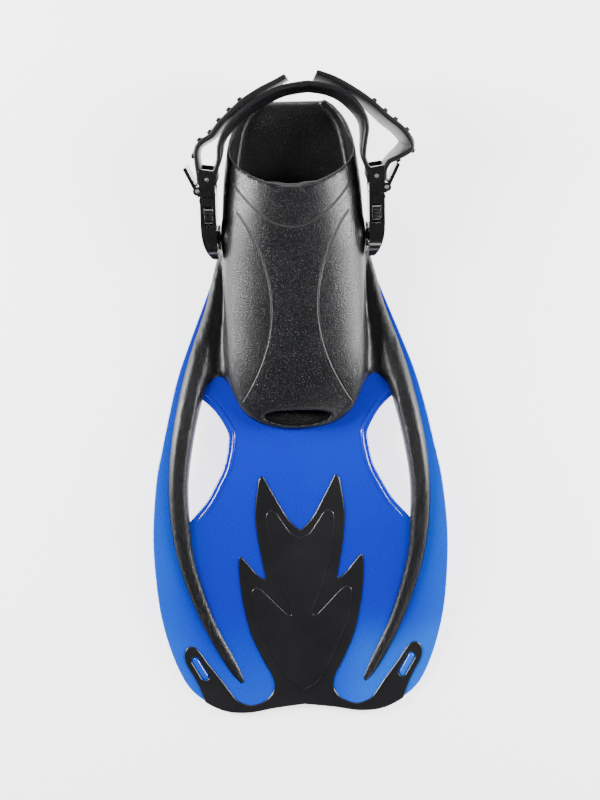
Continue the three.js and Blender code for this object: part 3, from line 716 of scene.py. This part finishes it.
# ---------- Foot pocket and rails: one rubber moulding ----------
width_share = profile([
    (0.26, 1), (0.58, 1), (0.73, 0.971), (0.825, 0.915), (0.905, 0.84), (0.945, 0.755), (0.975, 0.64),
    (1, 0.47),
])
height_share = profile([
    (0, 0.36), (0.12, 0.48), (0.26, 0.62), (0.4, 0.76), (0.58, 0.91), (0.74, 1), (1, 1.06),
])
TOE_SHARE = 0.26
TOE_LENGTH = POCKET_LENGTH * TOE_SHARE
TOE_ROUNDNESS = 2.8
WIDEST_LEVEL = 0.36  # where the pocket is widest, as a share of its top's height
INSTEP_SQUARENESS = 0.85
SOLE_SQUARENESS = 0.6
INSTEP_CROWN = 0.9


def pocket_half(y):
    return HALF_POCKET * width_share(clamp(y / POCKET_LENGTH, TOE_SHARE, 1))


def pocket_top(y):
    return INSTEP * height_share(clamp(y / POCKET_LENGTH)) - SOLE_DEPTH


def toe_share(y, toe):
    ahead = clamp((TOE_LENGTH - y) / (TOE_LENGTH - toe))
    return (1 - ahead ** TOE_ROUNDNESS) ** (1 / TOE_ROUNDNESS)


def pocket_body(inset, floor, count=46, corners=72):
    """The pocket's body with its walls drawn in, cut flat at the floor and at the heel."""
    heel = POCKET_LENGTH + 8
    sections = []
    for i in range(count + 1):
        y = inset + (heel - inset) * (1 - math.cos(i / count * math.pi / 2)) ** 0.9
        share = max(toe_share(y, inset), 0.02)
        middle = pocket_top(y) * WIDEST_LEVEL
        half = (pocket_half(y) - inset) * share
        up = (pocket_top(y) - inset - middle) * share
        down = (middle + SOLE_DEPTH + 2.5) * max(share, 0.4)
        section = []
        for j in range(corners):
            angle = math.tau * j / corners
            c = math.cos(angle)
            s = math.sin(angle)
            across = math.copysign(abs(c) ** (INSTEP_SQUARENESS if s > 0 else SOLE_SQUARENESS), c)
            height = up * s ** INSTEP_CROWN if s > 0 else -down * abs(s) ** SOLE_SQUARENESS
            section.append((half * across, y, middle + height))
        sections.append(section)
    bm = loft(bmesh.new(), sections)
    for place, normal in (((0, 0, floor), (0, 0, -1)), ((0, POCKET_LENGTH, 0), (0, 1, 0))):
        if inset and normal[1]:
            continue
        cut = bmesh.ops.bisect_plane(
            bm, geom=everything(bm), plane_co=place, plane_no=normal, clear_outer=True,
        )
        rim = [item for item in cut["geom_cut"] if isinstance(item, bmesh.types.BMEdge)]
        bmesh.ops.edgeloop_fill(bm, edges=rim)
    stations(bm, 6, POCKET_LENGTH, 6)
    return arched(bm)


RIM = [
    (0.67, 1.6), (0.69, 1.05), (0.723, 0.962), (0.757, 0.877), (0.794, 0.736), (0.834, 0.58), (0.92, 0.38),
    (1.02, 0.27),
]


def rim_line():
    """The opening's rim in side view: distance from the toe, and height above the blade's mid-plane."""
    return spline([(along * POCKET_LENGTH, up * INSTEP - SOLE_DEPTH) for along, up in RIM], 10)


BEHIND = 260
OVERHEAD = 130
ACROSS = Matrix(((0, 0, 1, 0), (1, 0, 0, 0), (0, 1, 0, 0), (0, 0, 0, 1)))


def opening_cut():
    """Everything above the rim."""
    line = [(point.x, point.y + arch(point.x)) for point in rim_line()]
    outline = line + [(BEHIND, line[-1][1]), (BEHIND, OVERHEAD), (line[0][0], OVERHEAD)]
    return prism(outline, *PLATE_SIDES, ACROSS)


LIP_BEAD = 3
LIP_END = 12  # how far short of the heel's end the lip stops


def rim_bead():
    """The thin lip along the opening's rim."""
    right = []
    for point in rim_line():
        y, height = point
        middle = pocket_top(y) * WIDEST_LEVEL
        level = (height - middle) / (pocket_top(y) - middle)
        if not 0 < level < 1 or y > POCKET_LENGTH - LIP_END:
            continue
        sine = level ** (1 / INSTEP_CROWN)
        across = math.sqrt(1 - sine ** 2) ** INSTEP_SQUARENESS
        right.append(Vector(((pocket_half(y) - 0.8) * across, y, height + arch(y) - 0.5)))
    middle_point = Vector((0, right[0].y - 0.6, right[0].z + 0.8))
    path = [Vector((-p.x, p.y, p.z)) for p in reversed(right)] + [middle_point] + right
    path = spline(path, 3)
    upright = Vector((0, -0.5, 1)).normalized()
    return swept(path, round_section(LIP_BEAD, LIP_BEAD, 10), upright, tapered(len(path)))


CUFF_THINNING = 2
CUFF_START = POCKET_LENGTH * 0.64
CUFF_FLOOR = FOOTBED + 16


def thin_rim():
    """What is cut from inside the wall near the opening, where the rubber thins to its lip."""
    inner = pocket_body(POCKET_WALL - CUFF_THINNING, CUFF_FLOOR)
    toe_side = (0, CUFF_START, 0)
    cut = bmesh.ops.bisect_plane(
        inner, geom=everything(inner), plane_co=toe_side, plane_no=(0, -1, 0), clear_outer=True,
    )
    rim = [item for item in cut["geom_cut"] if isinstance(item, bmesh.types.BMEdge)]
    bmesh.ops.edgeloop_fill(inner, edges=rim)
    return inner


def toe_slot():
    """The lens-shaped drain slot in the toe."""
    half = HALF_POCKET * 0.56
    outline = []
    for direction, middle in ((1, -4.5), (-1, 14)):
        for i in range(16):
            t = i / 16
            x = direction * half * (2 * t - 1)
            outline.append((x, 9 * (1 - t) ** 2 + 2 * middle * t * (1 - t) + 9 * t ** 2))
    return prism(outline, FOOTBED + arch(4), INSTEP + 20)


WEB_ALONG_RAIL = (0.02, 0.08, 0.14, 0.2, 0.26)
SCALLOP_ALONG_RAIL = 0.27


def web():
    """The rubber over the blade's root, from the pocket out to the rails."""
    last = len(RAIL) - 1
    outer = beside_rail(round(last * SCALLOP_ALONG_RAIL), -1).x
    radius = (outer - HALF_POCKET) / 2
    scallop = []
    for i in range(13):
        angle = math.pi * i / 12
        scallop.append(Vector((
            HALF_POCKET + radius + radius * math.cos(angle), WEB_END - radius + radius * math.sin(angle),
        )))
    beside = [beside_rail(round(last * share), 0) for share in WEB_ALONG_RAIL]
    heel_edge = POST_Y + 2
    right = [Vector((0, heel_edge)), Vector((HALF_POCKET + 0.6, heel_edge)), beside_rail(0, 1), *beside]
    right += [Vector((outer + 3, WEB_END - radius)), *scallop]
    right += [Vector((HALF_POCKET - 8, WEB_END - radius - 4)), Vector((0, WEB_END - radius - 4))]
    thickness = HALF_PLATE + WEB_SKIN
    return arched(plate(both_halves(right), [], -thickness, thickness, 0.8))


RAIL_SQUARENESS = 0.75
CREASE_DEPTH = 0.16


def rail():
    """One rail, with a shallow crease along its crest."""
    sections = []
    corners = 24
    for i in range(len(RAIL)):
        section = []
        for j in range(corners):
            angle = math.tau * j / corners
            c = math.cos(angle)
            s = math.sin(angle)
            across = math.copysign(abs(c) ** RAIL_SQUARENESS, c)
            height = math.copysign(abs(s) ** RAIL_SQUARENESS, s)
            place = beside_rail(i, across)
            if s > 0:
                crease = CREASE_DEPTH * math.exp(-((across + 0.12) / 0.2) ** 2)
                level = (height - crease) * RAIL[i][3]
            else:
                level = height * RAIL[i][4]
            section.append((place.x, place.y, level + arch(place.y)))
        sections.append(section)
    return loft(bmesh.new(), sections)


def boss():
    """The thick round pad that carries a post."""
    turn = Matrix.Translation((WALL_FACE - 6, POST_Y, POST_Z)) @ Matrix.Rotation(math.pi / 2, 4, "Y")
    outline = [(0, 0), (10.5, 0), (10.5, 4.6), (10.1, 5.6), (9.2, 6), (0, 6)]
    return turned(outline, turn, 32)


def smoothed(bm, chosen, times):
    for _ in range(times):
        bmesh.ops.smooth_vert(bm, verts=chosen, factor=0.5, use_axis_x=True, use_axis_y=True, use_axis_z=True)


VOXEL = 1.35
ALL_OVER, AT_LIP, AT_JUNCTION = 8, 9, 22  # smoothing passes


def at_junction(place):
    """Where the pocket's wall meets the web and the rails."""
    level = place.z - arch(place.y)
    return 8 < place.y < 112 and 36 < abs(place.x) < 64 and 1.5 < level < 20


def at_lip(place):
    return place.y > 136 and place.z > FOOTBED + 9


def moulding():
    """Foot pocket, web and rails, grown together with soft fillets."""
    cavity = pocket_body(POCKET_WALL, FOOTBED)
    shell = carved(pocket_body(0, -SOLE_DEPTH), cavity, thin_rim(), opening_cut(), toe_slot())
    pad = boss()
    side = rail()
    pads = [pad, mirror_of(pad)]
    sides = [side, mirror_of(side)]
    solid = add(shell, web(), rim_bead(), *pads, *sides)
    bmesh.ops.transform(solid, matrix=TO_FRAME, verts=solid.verts)
    obj = to_object(solid, "moulding_draft")
    grown = obj.modifiers.new("grown", "REMESH")
    grown.mode = "VOXEL"
    grown.voxel_size = VOXEL * MM
    bm = settled(obj)
    bmesh.ops.transform(bm, matrix=FROM_FRAME, verts=bm.verts)
    smoothed(bm, bm.verts, ALL_OVER)
    smoothed(bm, [corner for corner in bm.verts if at_junction(corner.co)], AT_JUNCTION)
    smoothed(bm, [corner for corner in bm.verts if at_lip(corner.co)], AT_LIP)
    return bm


# ---------- Buckles: x out from the pocket's wall, y along the strap, z across it ----------
def buckle_frame(side):
    """The place of one buckle's drawing; side is -1 on the left."""
    swing = Matrix.Translation((0, POST_Y, POST_Z)) @ Matrix.Rotation(INCLINE, 4, "X")
    return TO_FRAME @ swing @ Matrix.Diagonal((side, 1, 1, 1)) @ Matrix.Translation((WALL_FACE, 0, 0))


OUTWARD = Matrix.Rotation(math.pi / 2, 4, "Y")


def solid_copy(node):
    """A CAD node's own shape, merged and with its flat faces made whole."""
    bm = bmesh.new()
    bm.from_mesh(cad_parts[node].data)
    bmesh.ops.remove_doubles(bm, verts=bm.verts, dist=2e-6)
    bmesh.ops.dissolve_limit(bm, angle_limit=math.radians(2), verts=bm.verts, edges=bm.edges)
    return bm


def grip_bars(places, size, radius):
    """A row of low bars: each place is its centre, and size is (x, y, z)."""
    bm = bmesh.new()
    for place in places:
        made = bmesh.ops.create_cube(bm, size=1)
        bmesh.ops.scale(bm, vec=size, verts=made["verts"])
        bmesh.ops.translate(bm, vec=place, verts=made["verts"])
    bmesh.ops.bevel(
        bm, geom=bm.edges[:], offset=radius, segments=2, affect="EDGES", profile=0.5, material=-1,
    )
    return bm


def placed(bm, side):
    """Moves a mesh that was drawn in a buckle's frame to the CAD's frame."""
    bmesh.ops.transform(bm, matrix=buckle_frame(side), verts=bm.verts)
    return bm


def post():
    """The bush through the pocket's wall."""
    outline = [
        (2, 3.6), (2, 9.3), (3.6, 9.3), (4, 8.9), (4, 1.8), (7.4, 1.8), (8, 1.4), (8, 0.7), (7.6, 0.3),
        (3, 0.3), (3, -5), (7.6, -5), (8, -5.4), (8, -6), (7.4, -6.5), (0, -6.5), (0, 3.6), (2, 3.6),
    ]
    return turned(outline, OUTWARD)


def post_cap():
    """The snap-in head, with a shallow dimple."""
    outline = [
        (0, 4.2), (1.5, 4.2), (1.7, 4.6), (1.7, 9.7), (5, 9.7), (5.4, 10.1), (5.4, 10.5), (4.9, 11),
        (3, 11), (2.6, 10.7), (0, 10.6),
    ]
    return turned(outline, OUTWARD)


def roller():
    """The hollow steel roller that the strap turns round."""
    half = STRAP_WIDTH / 2
    inner = PIN_RADIUS + 0.3
    outline = [
        (inner, -half), (2.7, -half), (ROLLER_RADIUS, -half + 0.4), (ROLLER_RADIUS, half - 0.4), (2.7, half),
        (inner, half), (inner, -half),
    ]
    return turned(outline, Matrix.Translation((ROLLER_X, ROLLER_Y, 0)))


def pin(x, y):
    """A steel pin with domed ends."""
    half = CHEEK_OUTER
    outline = [(0, -half - 0.3), (0.8, -half - 0.15), (PIN_RADIUS, -half + 0.3)]
    outline += [(radius, -height) for radius, height in reversed(outline)]
    return turned(outline, Matrix.Translation((x, y, 0)), 24)


SPRING_RADIUS = 1.75
SPRING_LENGTH = 5.4
SPRING_TURNS = 6
SPRING_WIRE = 0.44


def lever_spring():
    """A torsion spring round the lever's pin, with its two legs."""
    a_turn = 14
    path = []
    for i in range(SPRING_TURNS * a_turn + 1):
        angle = math.tau * i / a_turn
        height = -SPRING_LENGTH / 2 + SPRING_LENGTH * i / (SPRING_TURNS * a_turn)
        path.append(Vector((SPRING_RADIUS * math.cos(angle), SPRING_RADIUS * math.sin(angle), height)))
    leg_in = path[0] + Vector((0.2, -3.4, 0))
    leg_out = path[-1] + Vector((0.6, 4.5, 0))
    path = [leg_in] + path + [leg_out]
    bm = swept(path, round_section(SPRING_WIRE, SPRING_WIRE, 8), Vector((0.1, 0, 1)).normalized())
    bmesh.ops.translate(bm, vec=(*LEVER_PIN, 0), verts=bm.verts)
    return bm


def receiver_trim():
    """A raised rim round the receiver's outer face, and a stiffening bar at its mouth."""
    bars = grip_bars([(12.1, 24.6, 0)], (1.1, 2.2, 22), 0.4)
    angles = [math.tau * i / 32 for i in range(33)]
    oval = [Vector((12.0, 13.5 + 4.2 * math.cos(angle), 6.2 * math.sin(angle))) for angle in angles]
    ring_bar = swept(oval, round_section(0.9, 0.9, 8), Vector((1, 0, 0)))
    return add(bars, ring_bar)


def arm_grips(sign):
    """Ribs on a squeeze arm's thumb pad; sign is 1 on the upper arm."""
    places = [(6.5, y, sign * 15.2) for y in (11.8, 13.6, 15.4, 17.2)]
    return grip_bars(places, (4.6, 0.8, 1.2), 0.25)


def lever_grips():
    """Ribs across the lever's tab."""
    flare = Matrix.Translation((*LEVER_PIN, 0)) @ Matrix.Rotation(math.radians(-25), 4, "Z")
    bm = grip_bars([(2.2, y, 0) for y in (9.2, 11, 12.8, 14.4)], (0.9, 0.8, 19), 0.25)
    bmesh.ops.transform(bm, matrix=flare, verts=bm.verts)
    return bm


def buckle(name, side):
    """All of one side's hardware."""
    black = (GLOSS, "buckle_plastic")
    steel = (STEEL, "steel")
    held = "strap_assembly"
    whole = {"matrix": Matrix(), "sharp": 30}

    def place(part, body, finish_pair, bm, bevel=0.0):
        node = f"{name}_{part}"
        finish(bm, f"{node}_look", body, *finish_pair, node, bevel=bevel, **whole)

    level = Matrix.Rotation(-INCLINE, 4, "X")
    for part, bm in (("post", post()), ("post_cap", post_cap())):
        bmesh.ops.transform(bm, matrix=level, verts=bm.verts)
        place(part, "fin", black, placed(bm, side))
    place("receiver", held, black, add(solid_copy(f"{name}_receiver"), placed(receiver_trim(), side)), 1.4)
    place("buckle_frame", held, black, solid_copy(f"{name}_buckle_frame"), 0.9)
    for part, sign in (("upper", 1), ("lower", -1)):
        arm = add(solid_copy(f"{name}_squeeze_arm_{part}"), placed(arm_grips(sign), side))
        place(f"squeeze_arm_{part}", f"{name}_{part}_button", black, arm, 0.35)
    lever = add(solid_copy(f"{name}_lever"), placed(lever_grips(), side))
    place("lever", f"{name}_lever_tab", black, lever, 0.4)
    place("roller", f"{name}_strap_roller", steel, placed(roller(), side))
    place("roller_pin", held, steel, placed(pin(ROLLER_X, ROLLER_Y), side))
    place("lever_pin", held, steel, placed(pin(*LEVER_PIN), side))
    place("lever_spring", held, steel, placed(lever_spring(), side))


# ---------- Heel strap ----------
SPAN_X = WALL_FACE + ROLLER_X
RIGHT_LOOP = [
    (0.255, 1.046), (0.482, 1.013), (0.678, 0.946), (0.845, 0.833), (0.971, 0.685), (1.013, 0.565),
    (1.007, 0.44),
]
LEFT_LOOP = [(-0.255, 1.046), (-0.027, 1.023), (0.178, 0.977), (0.442, 0.862), (0.691, 0.712), (0.871, 0.548)]
RIGHT_TAIL = [
    (1.105, 0.08), (1.16, 0.165), (1.275, 0.243), (1.365, 0.325), (1.355, 0.405), (1.257, 0.523),
    (1.114, 0.64), (0.924, 0.82), (0.724, 0.965), (0.51, 1.09), (0.3, 1.17),
]
LEFT_TAIL = [
    (1.1, 0.08), (1.116, 0.238), (1.1, 0.35), (1.034, 0.419), (0.925, 0.49), (0.811, 0.631),
    (0.568, 0.858), (0.356, 0.996), (0.15, 1.096), (0.032, 1.158),
]


RIGHT_TAIL_LEAN = math.radians(15)
LEFT_TAIL_LEAN = math.radians(8)
LOOP_LEAN = math.radians(15)
LEAN_START = 14  # points from the roller to where the lean starts
TEETH = [14.3 + 8.8 * i for i in range(6)]
TOOTH = (3, 2.4, STRAP_WIDTH - 2)
RIBS = [1.5 + 2.2 * i for i in range(6)]
RIB = (1, 0.9, STRAP_WIDTH - 5)


def along_heel(share, along, unit):
    """A place behind the buckles, in shares of a unit across and of the heel's reach along."""
    return (share * unit, ROLLER_Y + along * HEEL_REACH)


def beside_wall(y):
    """Where the strap passes the pocket's wall."""
    wall = pocket_half(POST_Y + y * math.cos(INCLINE))
    return (wall + 1.4 + STRAP_THICKNESS / 2, y)


def half_loop(places, wall_shares):
    """The strap from the back of the heel, past the pocket's wall, to the roller."""
    points = [along_heel(*place, HALF_POCKET) for place in places]
    points += [beside_wall(ROLLER_Y + share * HEEL_REACH) for share in wall_shares]
    points += [(SPAN_X - WRAP_RADIUS, ROLLER_Y + 4), (SPAN_X - WRAP_RADIUS, ROLLER_Y)]
    return spline(points, 7)


def wrap():
    """Half a turn round the roller."""
    points = []
    for i in range(1, 12):
        angle = math.pi * (1 + i / 12)
        x = SPAN_X + WRAP_RADIUS * math.cos(angle)
        points.append(Vector((x, ROLLER_Y + WRAP_RADIUS * math.sin(angle))))
    return points


def tail(points):
    """A free tail, from the roller to its end."""
    start = (SPAN_X + WRAP_RADIUS, ROLLER_Y)
    return spline([start] + [along_heel(*place, SPAN_X) for place in points], 7)


def heel_strap():
    """One band: a free tail, round the roller, round the heel, and back to the other tail."""
    right_loop = half_loop(RIGHT_LOOP, (0.225,))
    left_loop = half_loop(LEFT_LOOP, (0.4, 0.225))
    right_tail = tail(RIGHT_TAIL)
    left_tail = tail(LEFT_TAIL)
    right_leans = leans(right_loop, right_tail, RIGHT_TAIL_LEAN)
    left_leans = leans(left_loop, left_tail, LEFT_TAIL_LEAN)
    right = right_loop + wrap() + right_tail
    left = leftwards(list(reversed(left_loop[1:] + wrap() + left_tail)))
    line = [Vector((p.x, p.y, 0)) for p in left + right]
    leaning = list(reversed(left_leans[1:])) + right_leans
    ups = []
    for i, lean in enumerate(leaning):
        along = (line[min(i + 1, len(line) - 1)] - line[max(i - 1, 0)]).normalized()
        ups.append(Matrix.Rotation(lean, 3, along) @ Vector((0, 0, 1)))
    band = swept(line, soft_rectangle(STRAP_THICKNESS, STRAP_WIDTH, 1.1), ups)
    right_bars = [
        bars_along(right_tail, right_leans[-len(right_tail):], TEETH, TOOTH, 0.4),
        bars_along(right_loop, right_leans, RIBS, RIB, -0.2),
    ]
    left_bars = [
        mirror_of(bars_along(left_tail, left_leans[-len(left_tail):], TEETH, TOOTH, 0.4)),
        mirror_of(bars_along(left_loop, left_leans, RIBS, RIB, -0.2)),
    ]
    return add(band, *right_bars, *left_bars)


def leans(loop, free, most):
    """How far the strap leans outwards at each point: nothing at the roller, and more away from it."""
    from_roller = reversed(range(len(loop)))
    loop_leans = [-LOOP_LEAN * clamp((i - LEAN_START) / (2 * LEAN_START)) for i in from_roller]
    free_leans = [most * clamp((i - LEAN_START) / LEAN_START) for i in range(len(free))]
    return loop_leans + [0] * len(wrap()) + free_leans


def bars_along(points, leaning, distances, size, proud):
    """Bars across the strap, on the right side of a line, at distances along it."""
    bm = bmesh.new()
    wanted = list(distances)
    travelled = 0
    for before, after, lean in zip(points, points[1:], leaning):
        step = (after - before).length
        while wanted and travelled <= wanted[0] < travelled + step:
            along = (after - before).normalized()
            spot = before + along * (wanted.pop(0) - travelled)
            heading = Matrix.Rotation(math.atan2(along.y, along.x), 4, "Z")
            turn = Matrix.Translation((spot.x, spot.y, 0)) @ heading @ Matrix.Rotation(lean, 4, "X")
            bar = grip_bars([(0, -(STRAP_THICKNESS / 2 + proud), 0)], size, min(size) * 0.25)
            bmesh.ops.transform(bar, matrix=turn, verts=bar.verts)
            add(bm, bar)
        travelled += step
    return bm


# ---------- Putting it together ----------
finish(blade(), "blade_look", "fin", BLUE, "blue_plastic", "blade", flat=True)
finish(tip_insert(), "tip_insert_look", "fin", SATIN, "insert_rubber", "tip_insert", flat=True)
moulded = ("foot_pocket", "left_rail", "right_rail")
finish(moulding(), "moulding", "fin", RUBBER, "pocket_rubber", *moulded, sharp=80)
strap_place = TO_FRAME @ Matrix.Translation((0, POST_Y, POST_Z)) @ Matrix.Rotation(INCLINE, 4, "X")
strap = heel_strap()
finish(strap, "heel_strap_look", "strap_assembly", STRAP, "strap_rubber", "heel_strap", matrix=strap_place)
buckle("left", -1)
buckle("right", 1)


# ---------- Stage ----------
def pale_floor():
    """A white sheet that glows a little, as a light table does, so that no dark shadow falls on it."""
    paint = Paint("floor", Roughness=0.8, Emission_Color=(1, 1, 1, 1), Emission_Strength=2.4)
    cloud = paint.noise(300, 2)
    material = paint.vary(Base_Color=paint.mix(cloud, (0.86, 0.86, 0.87, 1), (0.9, 0.9, 0.91, 1)))
    bm = bmesh.new()
    bmesh.ops.create_grid(bm, x_segments=1, y_segments=1, size=3)
    bmesh.ops.translate(bm, vec=(0, 0, -0.0004), verts=bm.verts)
    obj = to_object(bm, "floor")
    obj.data.materials.append(material)


def soft_light(name, place, size, power):
    """A rectangular lamp that looks at the middle of the fin."""
    lamp = bpy.data.lights.new(name, "AREA")
    lamp.shape = "RECTANGLE"
    lamp.size, lamp.size_y = size
    lamp.energy = power
    obj = bpy.data.objects.new(name, lamp)
    bpy.context.scene.collection.objects.link(obj)
    obj.location = place
    obj.rotation_euler = (-Vector(place)).to_track_quat("-Z", "Y").to_euler()


VIEW_HEIGHT = 0.52  # metres of floor from the top of the view to the bottom
VIEW_TURN = -0.024


def camera():
    """Straight down, a metre above the floor, turned by the fin's small turn in the view."""
    data = bpy.data.cameras.new("camera")
    data.sensor_fit = "VERTICAL"
    data.lens = data.sensor_height / VIEW_HEIGHT
    obj = bpy.data.objects.new("camera", data)
    bpy.context.scene.collection.objects.link(obj)
    obj.location = (0.0018, -0.0016, 1.0)
    obj.rotation_euler = (0, 0, VIEW_TURN)
    bpy.context.scene.camera = obj


pale_floor()
soft_light("left_box", (-0.85, 0.2, 0.33), (0.18, 0.9), 34)
soft_light("right_box", (0.85, 0.12, 0.33), (0.18, 0.9), 26)
soft_light("heel_box", (0.05, 0.85, 0.45), (0.5, 0.2), 4)
soft_light("tip_box", (0.3, -0.9, 0.6), (0.5, 0.2), 3)
world = bpy.data.worlds.new("studio")
world.use_nodes = True
world.node_tree.nodes["Background"].inputs["Color"].default_value = (0.93, 0.95, 1, 1)
world.node_tree.nodes["Background"].inputs["Strength"].default_value = 0.06
bpy.context.scene.world = world
camera()
